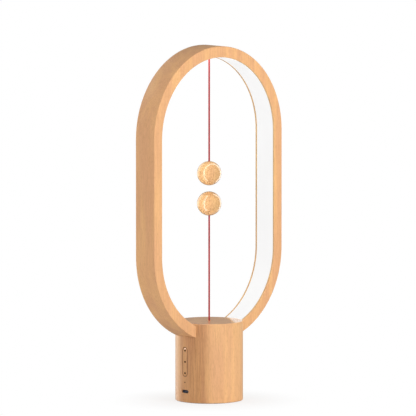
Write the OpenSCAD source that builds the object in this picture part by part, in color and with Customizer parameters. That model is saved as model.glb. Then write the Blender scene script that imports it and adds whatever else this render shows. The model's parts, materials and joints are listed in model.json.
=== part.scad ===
// Balance lamp: a wooden ring lit from inside, standing on a round wooden base.
// Two wooden balls on cords hold each other across a small gap by the magnets inside them.
// Lifting the lower ball pulls its cord up and works the switch in the base.
// The ring lies in the X-Z plane, its front faces -Y, and the keys are on the base's -X side.
// The origin is the centre of the foot, on the table.

/* [Ring] */
// Outer width of the ring
ring_w = 200; // [190:1:215]
// Length of the straight stretch at each side
ring_straight = 132; // [110:1:150]
// Thickness of the ring, from outside to inside
ring_t = 12.5; // [11.5:0.1:13.5]
// Depth of the ring, front to back
ring_depth = 30; // [28:0.5:34]
// Thickness of the two side cheeks
cheek_t = 2.2; // [1.8:0.1:3]
// Thickness of the outer wall
rim_t = 4; // [3.5:0.1:4.5]
// How far the ring sinks below the base's top
ring_sink = 22; // [21:0.5:24]
// Diameter of the dowels that join the two halves
dowel_d = 2; // [1.5:0.1:2.4]
// Length of the dowels
dowel_l = 12; // [8:0.5:16]
// Distance between dowels along a straight side
dowel_pitch = 44; // [30:1:48]

/* [Light] */
// Width of the flexible light strip
strip_w = 10; // [8:0.5:12]
// Thickness of the light strip
strip_t = 0.4; // [0.3:0.05:0.6]
// Length of one light chip, along the strip
chip_l = 3.5; // [2.5:0.1:4]
// Width of one light chip
chip_w = 2.8; // [2:0.1:3.5]
// Height of one light chip
chip_h = 0.8; // [0.6:0.1:1.2]
// Distance between chips along the strip
chip_pitch = 16.5; // [14:0.5:20]
// Thickness of the diffuser's face and legs
diffuser_t = 1.6; // [1.2:0.1:2]
// Height of the diffuser's legs, face included
diffuser_leg = 4.4; // [3.5:0.1:5]
// Angle from straight down at which the diffuser ends, inside the base
diffuser_end = 22; // [20:0.5:23]

/* [Balls and cords] */
// Diameter of both balls
ball_d = 27.2; // [25:0.2:31]
// Gap between the floating balls
ball_gap = 6.9; // [4:0.1:10]
// Length of the upper cord from the ring to its ball
upper_cord_l = 117.6; // [105:0.1:125]
// Diameter of both cords
cord_d = 2; // [1.6:0.1:2.2]
// Diameter of the magnets
magnet_d = 12; // [10:0.5:14]
// Thickness of the magnets
magnet_t = 6; // [4:0.5:7]
// Thickness of the wooden plug over each magnet
plug_t = 2.6; // [2.3:0.1:3]
// Diameter of the swivel bead on each cord
bead_d = 4.4; // [4.2:0.1:4.8]
// Diameter of the knot inside the bead
bead_knot_d = 2.9; // [2.7:0.05:3]
// Diameter of the stopper knot inside the ball
stop_knot_d = 3.6; // [3:0.1:4]

/* [Base] */
// Diameter of the base
base_d = 76; // [74:1:82]
// Height of the base's top above the table
base_h = 90; // [87:1:98]
// Thickness of the base's wall
wall_t = 6; // [5:0.25:6.5]
// Wood left between the hollow and the ring
deck_t = 6; // [5:0.25:7]
// Bevel of the base's edges
edge_bevel = 0.6; // [0.3:0.1:1.2]
// Wood left over the bush, under the base's top
skin_t = 1.6; // [1.2:0.1:2.2]
// Half length of the saddle's tongue in the ring
tongue_half = 20; // [18.5:0.5:22]
// Thickness of the bottom cover
cover_t = 2.4; // [2:0.1:3.2]
// Height of the rubber foot ring
foot_t = 1.2; // [1:0.1:2]
// Width of the rubber foot ring
foot_w = 3.2; // [2.5:0.1:3.4]
// How far the foot stands out below the wood
foot_lift = 0.6; // [0.4:0.1:0.9]
// Thickness of the steel ballast plate
ballast_t = 8; // [6:0.5:8.5]
// Diameter of the bosses for the cover screws
boss_d = 9; // [8:0.5:10]
// Height of those bosses
boss_h = 7.5; // [6:0.5:8]

/* [Pull switch] */
// How far the plunger travels down
pull_travel = 2; // [1.2:0.1:2.2]
// Diameter of the plunger's head
head_d = 8; // [7.6:0.1:9]
// Height of the plunger's head
head_h = 4.8; // [4.5:0.1:5.5]
// Diameter of the plunger's stem
stem_d = 3; // [2.6:0.1:3.4]
// Wall of the bush around the head
bush_wall = 1.4; // [1.2:0.1:1.8]
// Diameter of the collar on the stem
collar_d = 12; // [11:0.5:13]
// Thickness of the collar
collar_t = 2; // [1.5:0.1:3]
// Length of the return spring, seat to seat
spring_l = 15.4; // [14:0.2:17]
// Mean diameter of the return spring
spring_d = 6.4; // [6:0.1:6.8]
// Wire diameter of the return spring
wire_d = 0.7; // [0.5:0.05:0.8]
// Turns of the return spring
spring_turns = 6; // [5:1:8]
// Length of the microswitch
micro_l = 20; // [18:0.5:21]
// Width of the microswitch
micro_w = 6.4; // [5.8:0.1:7]
// Height of the microswitch
micro_h = 10; // [8.5:0.5:10.5]
// Thickness of the switch lever
lever_t = 0.5; // [0.4:0.05:0.6]
// Width of the switch lever
lever_w = 4; // [3:0.1:4.2]

/* [Keys and socket] */
// Width of the slot for the key bar
slot_w = 7.8; // [7:0.1:9]
// Height of the slot for the key bar
slot_h = 33.2; // [30:0.2:36]
// Centre of the key bar below the base's top
key_drop = 43.7; // [42:0.1:45]
// Gap around the key bar
key_gap = 0.4; // [0.3:0.05:0.6]
// Thickness of the key bar
key_t = 3.5; // [3:0.1:3.8]
// Travel of the key bar when it is pressed
key_travel = 0.3; // [0.2:0.05:0.5]
// Angle that the key bar rocks each way
key_rock = 1.2; // [0.8:0.1:1.6]
// Diameter of the inlaid dots
dot_d = 2.2; // [1.6:0.1:2.8]
// Distance between the dots
dot_pitch = 12.8; // [11:0.1:13.5]
// Charge light above the middle between slot and charging socket
lamp_lift = 0.8; // [-2:0.1:3]
// Diameter of the charge light
lamp_d = 1.5; // [1:0.1:1.8]
// Height of the charging socket above the table
usb_z = 12.9; // [12:0.1:13.5]
// Width of the opening for the charging socket
usb_hole_w = 10.8; // [9.7:0.1:11.5]
// Height of the opening for the charging socket
usb_hole_h = 3.8; // [3.6:0.1:4.4]

/* [Electronics] */
// Width of the circuit board
board_w = 22; // [20:0.5:24]
// Thickness of the circuit board
board_t = 1.6; // [1.2:0.1:2]
// Distance from the hollow's wall to the board
board_stand = 5; // [4.7:0.1:5.4]
// Width of the battery
battery_w = 30; // [26:0.5:32]
// Thickness of the battery
battery_t = 10; // [8:0.5:11]
// Free space over the battery, for its leads
battery_room = 7.1; // [6:0.1:14]
// Wall of the battery's cradle
cradle_t = 1.2; // [1:0.1:1.5]
// Height of the battery's cradle
cradle_h = 18; // [12:0.5:24]
// Diameter of one wire
lead_d = 1.2; // [0.9:0.1:1.4]
// Length of the screws that hold the circuit board
board_screw_l = 7; // [6:0.5:8]
// Length of the screws that hold the switch's bracket
bracket_screw_l = 5.5; // [4.5:0.5:6]

/* [Hidden] */
$fn = 96;

eps = 0.01;
// Clearances: glued wood, fixed inserts, running fits and free air
glue_gap = 0.05;
fixed_gap = 0.05;
run_gap = 0.05;

// Ring: centres of its round ends, and its inner top
ring_r = ring_w / 2;
arc_low_z = base_h - ring_sink + ring_r;
arc_high_z = arc_low_z + ring_straight;
ring_in_r = ring_r - ring_t;
ring_in_top = arc_high_z + ring_in_r;
channel_r = ring_r - rim_t;
channel_half = ring_depth / 2 - cheek_t;
channel_top = arc_high_z + channel_r;
recess = 0.3;
diffuser_r = ring_in_r + recess;
diffuser_half = channel_half - 0.1;
strip_r = channel_r - 0.1;
strip_end = diffuser_end + 2;
chip_r = strip_r - strip_t - 0.03;
dowel_r = ring_r - rim_t / 2;

// Base: the hollow, its roof and the board on its wall
base_r = base_d / 2;
hollow_r = base_r - wall_t;
deck_z = base_h - ring_sink - deck_t;
cover_z = foot_t;
hollow_floor = cover_z + cover_t;
rebate_r = base_r - 3;
boss_r = hollow_r - 3.5;
ballast_r = boss_r - boss_d / 2 - 0.5;
ballast_top = hollow_floor + ballast_t;
foot_r = rebate_r - 0.6;
cover_r = rebate_r - 0.2;

// Swivels: a bead in a cup, and the cord's knot in the bead
bead_r = bead_d / 2;
cord_r = cord_d / 2;
knot_r = bead_knot_d / 2;
stop_r = stop_knot_d / 2;
knot_flat = 0.7 * knot_r;
stop_flat = 0.7 * stop_r;
lip_r = bead_r - 0.2;
lip_z = sqrt(pow(bead_r + run_gap / 2, 2) - lip_r * lip_r);
cup_wall = 0.75;
cup_r = bead_r + 0.15 + cup_wall;
cup_in_r = bead_r + 0.15;
mouth_r = cup_in_r + cup_wall - 0.3;
face_below = 1.5;
side_swing = 30;

// Heights of the swivels and balls
ball_r = ball_d / 2;
upper_pivot = ring_in_top + face_below;
upper_ball_z = ring_in_top - upper_cord_l - ball_r;
lower_ball_z = upper_ball_z - ball_d - ball_gap;
head_top = base_h - skin_t - 0.1;
head_low = head_top - head_h;
lower_pivot = head_top - face_below;
upper_l = upper_pivot - upper_ball_z;
lower_l = lower_ball_z - lower_pivot;

// Inside a ball, from its centre, with the cord coming in from above
magnet_low = -(ball_r - plug_t - 0.1);
magnet_high = magnet_low + magnet_t;
chamber_top = magnet_high + stop_knot_d + 1.6;
stop_z = magnet_high + 0.8 + stop_r;

// Pull switch
head_r = head_d / 2;
stem_r = stem_d / 2;
bush_in = head_r + run_gap;
bush_r = bush_in + bush_wall;
bush_floor = head_low - pull_travel - 0.1;
bush_floor_t = 1.5;
washer_t = 0.6;
spring_top = deck_z - washer_t;
collar_top = spring_top - spring_l;
collar_low = collar_top - collar_t;
collar_r = collar_d / 2;
stem_low = collar_low - 1;
stem_hole_r = stem_r + 0.6;
lever_low = collar_top + 0.05;
lever_tip = spring_d / 2 + wire_d / 2 + 0.7;
micro_x = collar_r + 1;
micro_z = lever_low + lever_t + 2.6;
pin_r = 0.4;
barrel_r = 0.85;
hinge_x = micro_x + micro_l - 3;
hinge_z = lever_low + barrel_r;
button_x = (micro_x + hinge_x) / 2;
button_w = 2;
button_depth = 2.4;
button_low = lever_low + lever_t + 0.08;
bracket_t = 1.2;
bracket_y = micro_w / 2 + 0.05;
bracket_flange = 9;

// Keys, board and socket, all on the -X side
key_z = base_h - key_drop;
lamp_z = (key_z - slot_h / 2 + usb_z + usb_hole_h / 2) / 2 + lamp_lift;
key_face = base_r - 0.15;
key_back = key_face - key_t;
board_x = hollow_r - board_stand;
board_low = usb_z - 4;
board_high = deck_z - 1;
tact_w = 4.5;
tact_h = 1.8;
tact_tip = 0.9;
tact_face = board_x + tact_h + tact_tip;
press_gap = key_travel + 0.05;
pusher_r = 1.3;
pusher_x = tact_face + press_gap + (dot_pitch + pusher_r) * sin(key_rock);
pivot_x = key_back - 1.6;
ear_in = 1.6;
ear_t = 1.2;
key_pin_r = 0.7;
carrier_t = 1.2;
carrier_low = tact_face + press_gap;
post_y = 4.2;
post_r = 0.8;
usb_w = 8.94;
usb_h = 3.26;
usb_wall = 0.3;
usb_face = base_r - 0.9;
board_screw_y = board_w / 2 - 3;
board_screw_z = [board_low + 11, board_high - 4];

// Battery and its cradle stand on the ballast, behind the switch
battery_y = 12;
cradle_z = ballast_top;
battery_z = cradle_z + cradle_t + 0.1;

// Screws: shank radius, head radius and head height
ring_screw = [1.5, 2.8, 2];
cover_screw = [1.1, 2.2, 1.2];
small_screw = [1, 1.9, 1.2];
ring_screw_at = [16, 9];
ring_screw_sink = 2.4;
ring_screw_l = 18.5;
cover_screw_l = 8.5;

// Plugs on the board's inner face, and the hole through which the light's leads reach the ring
plug_out = 2.6;
plug_x = -board_x + board_t + plug_out + 0.1;
lead_z = deck_z - 9;
switch_plug_z = key_z - 2.3;
battery_plug_z = board_up(0.68);
wire_x = -24;
wire_hole_r = 2.2;

// Routes of the leads, from end to end
battery_top = deck_z - battery_room;
terminal_x = micro_x + micro_l - 3;
terminal_z = micro_z + 2.9;
terminal_y = -micro_w / 2 - 0.05;
led_route = [[plug_x, 0, lead_z], [plug_x + 1.2, 0, lead_z], [plug_x + 1.9, 0, lead_z + 2.5],
    [plug_x + 0.9, 0, lead_z + 5.8], [wire_x + 0.4, 0, deck_z], [wire_x, 0, deck_z + 4],
    [wire_x, 0, deck_z + 10], [wire_x - 0.6, 0, deck_z + 13.7], in_channel(17), in_channel(20),
    in_channel(23), in_channel(strip_end + 1.6)];
battery_route = [[plug_x, 7, battery_plug_z], [plug_x + 2, 7, battery_plug_z],
    [plug_x + 4.7, 7.6, battery_plug_z + 4], [-14, 9, battery_top - 7], [-12, 10, battery_top],
    [-10, battery_y, battery_top + 3], [-7, battery_y + 2.5, battery_top + 3.6],
    [-4, battery_y + 4.6, battery_top + 2.6], [-3, battery_y + 5, battery_top + 1]];
switch_route = [[plug_x, -7, switch_plug_z], [plug_x + 2, -7, switch_plug_z],
    [-16, -8.6, switch_plug_z + 2], [-8, -10.5, deck_z - 12], [0, -11, deck_z - 9], [10, -10, deck_z - 8],
    [terminal_x - 5, -9.4, terminal_z + 1.6], [terminal_x - 1, terminal_y - 3.6, terminal_z + 0.5],
    [terminal_x, terminal_y - 1.6, terminal_z], [terminal_x, terminal_y, terminal_z]];

// A height on the board, as a share of the way from its foot to the keys' centre
function board_up(share) = board_low + share * (key_z - board_low);

// A point on the channel's floor, at an angle from straight down towards the keys' side
function in_channel(angle) = let (r = strip_r - strip_t - lead_d / 2 - 0.05)
    [-r * sin(angle), 0, arc_low_z - r * cos(angle)];

// ---------- shared shapes ----------

// The ring's long rounded outline in X-Z, drawn flat with Z as Y
module ring_outline(r) {
    translate([0, arc_low_z]) circle(r, $fn = 240);
    translate([0, arc_high_z]) circle(r, $fn = 240);
    translate([-r, arc_low_z]) square([2 * r, ring_straight]);
}

// That outline as a slab from y = y0 to y = y1
module ring_slab(r, y0, y1) {
    translate([0, y1, 0]) rotate([90, 0, 0]) linear_extrude(y1 - y0) ring_outline(r);
}

// A wedge around straight down, as wide as half_angle each side
module bottom_wedge(half_angle) {
    reach = ring_r + 5;
    side = reach * tan(half_angle);
    translate([0, ring_depth, 0]) rotate([90, 0, 0]) linear_extrude(2 * ring_depth)
        polygon([[0, arc_low_z], [side, arc_low_z - reach], [-side, arc_low_z - reach]]);
}

// A rod along X from x0 to x1
module rod_x(r, x0, x1) {
    translate([x0, 0, 0]) rotate([0, 90, 0]) cylinder(r = r, h = x1 - x0, $fn = 48);
}

// A rod along Y, centred
module rod_y(r, l) {
    rotate([90, 0, 0]) cylinder(r = r, h = l, center = true, $fn = 48);
}

// A bar with round ends along X from x0 to x1, w along Y and h along Z
module capsule_x(w, h, x0, x1) {
    long = max(w, h);
    r = min(w, h) / 2;
    shift = long / 2 - r;
    tall = h > w ? 1 : 0;
    for (side = [-1, 1])
        translate([0, (1 - tall) * side * shift, tall * side * shift]) rod_x(r, x0, x1);
    translate([x0, tall ? -r : -shift, tall ? -shift : -r])
        cube([x1 - x0, tall ? 2 * r : 2 * shift, tall ? 2 * shift : 2 * r]);
}

// A box from corner a to corner b
module span(a, b) {
    translate(a) cube(b - a);
}

// A countersunk or pan screw pointing up, with its head's outer face at z = 0
module screw(size, l) {
    difference() {
        union() {
            cylinder(r = size[1], h = size[2], $fn = 48);
            translate([0, 0, size[2] - eps]) cylinder(r = size[0], h = l - size[2] + eps, $fn = 48);
        }
        for (turn = [0, 90])
            rotate([0, 0, turn]) translate([-size[1] * 0.6, -0.25, -eps])
                cube([size[1] * 1.2, 0.5, size[2] * 0.6]);
    }
}

// The hole for that screw, with room around shank and head
module screw_hole(size, l) {
    translate([0, 0, -size[2]]) cylinder(r = size[1] + fixed_gap, h = 2 * size[2] + fixed_gap, $fn = 48);
    cylinder(r = size[0] + fixed_gap, h = l + 0.3, $fn = 48);
}

// Points of a ring of a tube, around point p with the tube running along d, which is never along ref
function tube_ring(p, d, r, sides, ref) =
    let (n = d / norm(d),
        u = cross(ref, n) / norm(cross(ref, n)),
        v = cross(n, u))
    [for (i = [0:sides - 1]) p + r * (cos(i * 360 / sides) * u + sin(i * 360 / sides) * v)];

// A tube swept along a list of points
module tube(path, r, sides, ref) {
    last = len(path) - 1;
    rings = [for (i = [0:last])
        tube_ring(path[i], path[min(i + 1, last)] - path[max(i - 1, 0)], r, sides, ref)];
    points = [for (ring = rings) each ring];
    walls = [for (i = [0:last - 1]) for (j = [0:sides - 1]) let (k = (j + 1) % sides)
        [i * sides + j, i * sides + k, (i + 1) * sides + k, (i + 1) * sides + j]];
    caps = [[for (j = [sides - 1:-1:0]) j], [for (j = [0:sides - 1]) last * sides + j]];
    polyhedron(points, [for (f = concat(walls, caps)) [for (k = [len(f) - 1:-1:0]) f[k]]]);
}

// A smooth path through hand-placed points
function smooth(route, steps) = concat(
    [for (i = [0:len(route) - 2]) for (s = [0:steps - 1])
        let (a = route[max(i - 1, 0)], b = route[i], c = route[i + 1],
            d = route[min(i + 2, len(route) - 1)], t = s / steps)
        0.5 * (2 * b + (c - a) * t + (2 * a - 5 * b + 4 * c - d) * t * t
            + (3 * b - a - 3 * c + d) * t * t * t)],
    [route[len(route) - 1]]);

// Two leads side by side along a route, each moved from it by the vector apart
module lead_pair(route, apart, ref) {
    for (side = [-1, 1])
        tube(smooth([for (p = route) p + side * apart], 4), lead_d / 2, 8, ref);
}

// Places children at a swivel, as drawn for a cord that hangs down from the origin
module hang(pivot_z, upright) {
    translate([0, 0, pivot_z]) mirror([0, 0, upright ? 1 : 0]) children();
}

// ---------- ring ----------

// Where the ring's halves are pinned together
module at_dowels() {
    for (side = [-1, 1]) {
        for (step = [-1:1])
            translate([side * dowel_r, 0, (arc_low_z + arc_high_z) / 2 + step * dowel_pitch]) children();
        for (end = [0, 1])
            translate([side * dowel_r * cos(45), 0, end ? arc_high_z + dowel_r * sin(45)
                : arc_low_z - dowel_r * sin(45)]) children();
    }
}

// Cuts through the ring at its foot and at its top
module ring_cuts() {
    at_dowels() rod_y(dowel_d / 2 + fixed_gap, dowel_l + 0.4);
    translate([0, 0, deck_z]) cylinder(r = stem_hole_r, h = ring_sink);
    for (x = [-1, 1], y = [-1, 1])
        translate([x * ring_screw_at[0], y * ring_screw_at[1], deck_z])
            cylinder(r = ring_screw[0] + fixed_gap, h = ring_sink, $fn = 48);
    wire_hole();
    translate([0, 0, channel_top - 1]) cylinder(r = spigot_r() + fixed_gap, h = spigot_l() + 1.2);
}

// The hole for the light strip's leads, through deck and ring
module wire_hole() {
    translate([wire_x, 0, deck_z - 1]) cylinder(r = wire_hole_r, h = deck_t + rim_t + 7, $fn = 48);
}

function spigot_r() = 2;
function spigot_l() = rim_t - 1.5;

module ring_half(front) {
    y0 = front ? -ring_depth / 2 : 0;
    y1 = front ? 0 : ring_depth / 2;
    c0 = front ? -channel_half : -1;
    c1 = front ? 1 : channel_half;
    difference() {
        ring_slab(ring_r, y0, y1);
        ring_slab(ring_in_r, y0 - 1, y1 + 1);
        ring_slab(channel_r, c0, c1);
        ring_cuts();
    }
}

module ring_front() { color("burlywood") ring_half(true); }
module ring_rear() { color("burlywood") ring_half(false); }
module ring_dowels() { color("tan") at_dowels() rod_y(dowel_d / 2, dowel_l); }

module led_strip() {
    color("white") difference() {
        ring_slab(strip_r, -strip_w / 2, strip_w / 2);
        ring_slab(strip_r - strip_t, -strip_w, strip_w);
        bottom_wedge(strip_end);
        translate([0, 0, arc_high_z]) cylinder(r = cup_r + 1.9, h = ring_r);
    }
}

// One chip, its back on the strip at radius chip_r, turned by angle from +X about an arc's centre
module chip(angle, centre_z, shift) {
    translate([0, 0, centre_z]) rotate([0, -angle, 0])
        translate([chip_r - chip_h, -chip_w / 2, shift - chip_l / 2]) cube([chip_h, chip_w, chip_l]);
}

module led_chips() {
    along = floor(ring_straight / chip_pitch);
    step = chip_pitch / chip_r * 180 / PI;
    over = floor(90 / step);
    under = floor((90 - strip_end - 2) / step);
    color("gold") {
        for (i = [0:along - 1]) {
            z = ring_straight / 2 + (i - (along - 1) / 2) * chip_pitch;
            chip(0, arc_low_z, z);
            mirror([1, 0, 0]) chip(0, arc_low_z, z);
        }
        for (i = [0:over - 1]) {
            chip((i + 0.5) * 90 / over, arc_high_z, 0);
            mirror([1, 0, 0]) chip((i + 0.5) * 90 / over, arc_high_z, 0);
        }
        for (i = [0:under - 1]) {
            chip(-(i + 0.5) * step, arc_low_z, 0);
            mirror([1, 0, 0]) chip(-(i + 0.5) * step, arc_low_z, 0);
        }
    }
}

// One side of the diffuser: a curved channel with its face inwards
module diffuser_half_loop(side) {
    far = ring_w;
    difference() {
        ring_slab(diffuser_r + diffuser_leg, -diffuser_half, diffuser_half);
        ring_slab(diffuser_r, -ring_depth, ring_depth);
        difference() {
            inner = diffuser_half - diffuser_t;
            ring_slab(ring_r, -inner, inner);
            ring_slab(diffuser_r + diffuser_t, -ring_depth, ring_depth);
        }
        bottom_wedge(diffuser_end);
        translate([0, 0, arc_high_z]) cylinder(r = cup_r + 0.1, h = ring_r);
        translate([side < 0 ? -glue_gap : -far, -ring_depth, 0])
            cube([far + glue_gap, 2 * ring_depth, 2 * far + ring_straight]);
    }
}

module diffuser_left() { color("whitesmoke") diffuser_half_loop(-1); }
module diffuser_right() { color("whitesmoke") diffuser_half_loop(1); }

// ---------- swivels, cords and balls ----------

// The hollow of a cup that holds the bead, with the cord leaving downwards
module cup_hollow() {
    translate([0, 0, -lip_z]) cylinder(r = cup_in_r, h = lip_z + bead_r + 0.2, $fn = 64);
    translate([0, 0, -face_below]) cylinder(r1 = mouth_r, r2 = lip_r, h = face_below - lip_z + eps, $fn = 64);
    translate([0, 0, -face_below - 1]) cylinder(r = mouth_r, h = 1 + eps, $fn = 64);
}

module cord_anchor() {
    flange_r = cup_r + 1.4;
    top = arc_high_z + sqrt(channel_r * channel_r - flange_r * flange_r) - 0.02 - upper_pivot;
    color("goldenrod") hang(upper_pivot, false) difference() {
        union() {
            translate([0, 0, -face_below]) cylinder(r = cup_r, h = top + face_below, $fn = 64);
            translate([0, 0, top - 1.5]) cylinder(r = flange_r, h = 1.5, $fn = 64);
            translate([0, 0, top - eps]) cylinder(r = spigot_r(), h = spigot_l() + eps, $fn = 64);
        }
        cup_hollow();
    }
}

// A bead with a round seat for the knot and a slot that lets the cord swing along X
module bead_shape() {
    seat = knot_r + run_gap;
    half = (cord_r + 0.15) / cos(side_swing);
    flare = 2 * bead_r * tan(side_swing);
    difference() {
        sphere(r = bead_r, $fn = 64);
        sphere(r = seat, $fn = 64);
        translate([0, cord_r + 0.15, 0]) rotate([90, 0, 0]) linear_extrude(cord_d + 0.3)
            polygon([[-half, 0], [half, 0], [half + flare, -2 * bead_r], [-half - flare, -2 * bead_r]]);
    }
}

// A knot with a flat where the cord meets it, below its centre
module knot(r, flat) {
    difference() {
        sphere(r = r, $fn = 64);
        translate([-2 * r, -2 * r, -flat - 2 * r]) cube([4 * r, 4 * r, 2 * r]);
    }
}

module knots_shape(l) {
    knot(knot_r, knot_flat);
    translate([0, 0, stop_z - l]) mirror([0, 0, 1]) knot(stop_r, stop_flat);
}

module cord_shape(l) {
    low = stop_z - l + stop_flat;
    translate([0, 0, low]) cylinder(r = cord_r, h = -knot_flat - low, $fn = 48);
}

module ball_shape(l) {
    translate([0, 0, -l]) difference() {
        sphere(r = ball_r, $fn = 128);
        translate([0, 0, -ball_r - 1])
            cylinder(r = magnet_d / 2 + fixed_gap, h = ball_r + 1 + magnet_high + fixed_gap);
        translate([0, 0, magnet_high - 1]) cylinder(r = stop_r + 0.4, h = chamber_top - magnet_high + 1);
        cylinder(r = cord_r + 0.15, h = ball_r + 1, $fn = 48);
    }
}

module magnet_shape(l) {
    translate([0, 0, magnet_low - l]) cylinder(r = magnet_d / 2, h = magnet_t);
}

module plug_shape(l) {
    translate([0, 0, -l]) intersection() {
        sphere(r = ball_r, $fn = 128);
        translate([0, 0, -ball_r - 1]) cylinder(r = magnet_d / 2, h = 1 + plug_t + 0.05);
    }
}

module upper_bead() { color("peru") hang(upper_pivot, false) bead_shape(); }
module upper_cord() { color("indianred") hang(upper_pivot, false) cord_shape(upper_l); }
module upper_knots() { color("firebrick") hang(upper_pivot, false) knots_shape(upper_l); }
module upper_ball() { color("burlywood") hang(upper_pivot, false) ball_shape(upper_l); }
module upper_magnet() { color("silver") hang(upper_pivot, false) magnet_shape(upper_l); }
module upper_plug() { color("tan") hang(upper_pivot, false) plug_shape(upper_l); }
module lower_bead() { color("peru") hang(lower_pivot, true) bead_shape(); }
module lower_cord() { color("indianred") hang(lower_pivot, true) cord_shape(lower_l); }
module lower_knots() { color("firebrick") hang(lower_pivot, true) knots_shape(lower_l); }
module lower_ball() { color("burlywood") hang(lower_pivot, true) ball_shape(lower_l); }
module lower_magnet() { color("silver") hang(lower_pivot, true) magnet_shape(lower_l); }
module lower_plug() { color("tan") hang(lower_pivot, true) plug_shape(lower_l); }

// ---------- base ----------

// The turned block, with bevelled edges
module base_blank(r) {
    rotate_extrude($fn = 160)
        polygon([[0, foot_lift], [r - edge_bevel, foot_lift], [r, foot_lift + edge_bevel],
            [r, base_h - edge_bevel], [r - edge_bevel, base_h], [0, base_h]]);
}

module at_bosses() {
    for (turn = [45:90:315]) rotate([0, 0, turn]) translate([boss_r, 0, 0]) children();
}

// Where the board's two screws go, seen from the hollow
module at_board_screws() {
    for (i = [0, 1]) translate([0, (2 * i - 1) * board_screw_y, board_screw_z[i]]) children();
}

module base_body() {
    color("burlywood") difference() {
        union() {
            difference() {
                base_blank(base_r);
                cylinder(r = hollow_r, h = deck_z);
                translate([0, 0, -1]) cylinder(r = rebate_r, h = 1 + hollow_floor);
            }
            at_bosses() translate([0, 0, hollow_floor]) cylinder(r = boss_d / 2, h = boss_h, $fn = 64);
            at_board_screws() rod_x(2.4, -hollow_r - 1, -board_x - 0.05);
        }
        ring_slab(ring_r + glue_gap, -ring_depth / 2 - glue_gap, ring_depth / 2 + glue_gap);
        translate([0, 0, deck_z - 1]) cylinder(r = stem_hole_r, h = ring_sink, $fn = 48);
        for (x = [-1, 1], y = [-1, 1])
            translate([x * ring_screw_at[0], y * ring_screw_at[1], deck_z + ring_screw_sink - ring_screw[2]])
                screw_hole(ring_screw, ring_screw_l);
        wire_hole();
        at_bosses() translate([0, 0, cover_z + 0.1])
            cylinder(r = cover_screw[0] + fixed_gap, h = cover_screw_l + 0.3, $fn = 48);
        translate([0, 0, key_z]) capsule_x(slot_w, slot_h, -base_r - 1, -hollow_r + 1);
        translate([0, 0, usb_z]) capsule_x(usb_hole_w, usb_hole_h, -base_r - 1, -hollow_r + 1);
        translate([0, 0, lamp_z]) rod_x(lamp_d / 2 + fixed_gap, -base_r - 1, -hollow_r + 1);
        at_board_screws() rod_x(small_screw[0] + fixed_gap, -base_r + 1.5, 0);
        at_bracket_screws() cylinder(r = small_screw[0] + fixed_gap, h = bracket_screw_l + 0.5, $fn = 48);
    }
}

// The block that fills the slot above the ring and grips it from inside
module saddle_block() {
    color("burlywood") difference() {
        intersection() {
            base_blank(base_r);
            union() {
                ring_slab(ring_in_r - glue_gap, -ring_depth / 2, ring_depth / 2);
                intersection() {
                    ring_slab(channel_r - glue_gap, -channel_half + glue_gap, channel_half - glue_gap);
                    translate([-tongue_half, -ring_depth, 0])
                        cube([2 * tongue_half, 2 * ring_depth, base_h - 1]);
                }
            }
        }
        translate([0, 0, deck_z]) cylinder(r = bush_r + fixed_gap, h = base_h - skin_t - deck_z, $fn = 64);
        translate([0, 0, base_h - skin_t - eps])
            cylinder(r1 = mouth_low_r(), r2 = mouth_low_r() + 0.5, h = skin_t + 2 * eps, $fn = 64);
        for (x = [-1, 1], y = [-1, 1])
            translate([x * ring_screw_at[0], y * ring_screw_at[1], deck_z])
                cylinder(r = ring_screw[0] + fixed_gap,
                    h = ring_screw_sink - ring_screw[2] + ring_screw_l + 0.3, $fn = 48);
    }
}

function mouth_low_r() = cord_r + 1.25;

module ring_screws() {
    color("dimgray") for (x = [-1, 1], y = [-1, 1])
        translate([x * ring_screw_at[0], y * ring_screw_at[1], deck_z + ring_screw_sink - ring_screw[2]])
            screw(ring_screw, ring_screw_l);
}

module ballast_plate() {
    color("slategray") difference() {
        translate([0, 0, hollow_floor]) cylinder(r = ballast_r, h = ballast_t);
        at_ballast_screws() cylinder(r = cover_screw[0] + fixed_gap, h = 12, $fn = 48);
    }
}

module at_ballast_screws() {
    for (turn = [30:120:270]) rotate([0, 0, turn]) translate([ballast_r / 2, 0, cover_z + 0.1]) children();
}

module ballast_screws() { color("dimgray") at_ballast_screws() screw(cover_screw, 8); }

module bottom_cover() {
    color("tan") difference() {
        translate([0, 0, cover_z]) cylinder(r = cover_r, h = cover_t, $fn = 128);
        at_bosses() translate([0, 0, cover_z + 0.1]) screw_hole(cover_screw, cover_screw_l);
        at_ballast_screws() screw_hole(cover_screw, 8);
    }
}

module cover_screws() {
    color("dimgray") at_bosses() translate([0, 0, cover_z + 0.1]) screw(cover_screw, cover_screw_l);
}

module foot_ring() {
    color("dimgray") difference() {
        cylinder(r = foot_r, h = foot_t, $fn = 128);
        translate([0, 0, -1]) cylinder(r = foot_r - foot_w, h = foot_t + 2, $fn = 128);
    }
}

// ---------- pull switch ----------

module pull_bush() {
    low = bush_floor - bush_floor_t;
    color("gray") difference() {
        translate([0, 0, low]) cylinder(r = bush_r, h = base_h - skin_t - low, $fn = 64);
        translate([0, 0, bush_floor]) cylinder(r = bush_in, h = base_h, $fn = 64);
        translate([0, 0, low - 1]) cylinder(r = stem_r + run_gap, h = base_h, $fn = 48);
    }
}

module pull_plunger() {
    color("lightgray") difference() {
        union() {
            translate([0, 0, head_low]) cylinder(r = head_r, h = head_h, $fn = 64);
            translate([0, 0, stem_low]) cylinder(r = stem_r, h = head_low - stem_low + eps, $fn = 48);
        }
        hang(lower_pivot, true) cup_hollow();
    }
}

module stem_collar() {
    color("dimgray") translate([0, 0, collar_low]) difference() {
        cylinder(r = collar_r, h = collar_t, $fn = 64);
        translate([0, 0, -1]) cylinder(r = stem_r, h = collar_t + 2, $fn = 48);
    }
}

module spring_washer() {
    color("silver") translate([0, 0, spring_top]) difference() {
        cylinder(r = spring_d / 2 + 1.4, h = washer_t, $fn = 64);
        translate([0, 0, -1]) cylinder(r = stem_hole_r, h = washer_t + 2, $fn = 48);
    }
}

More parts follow.
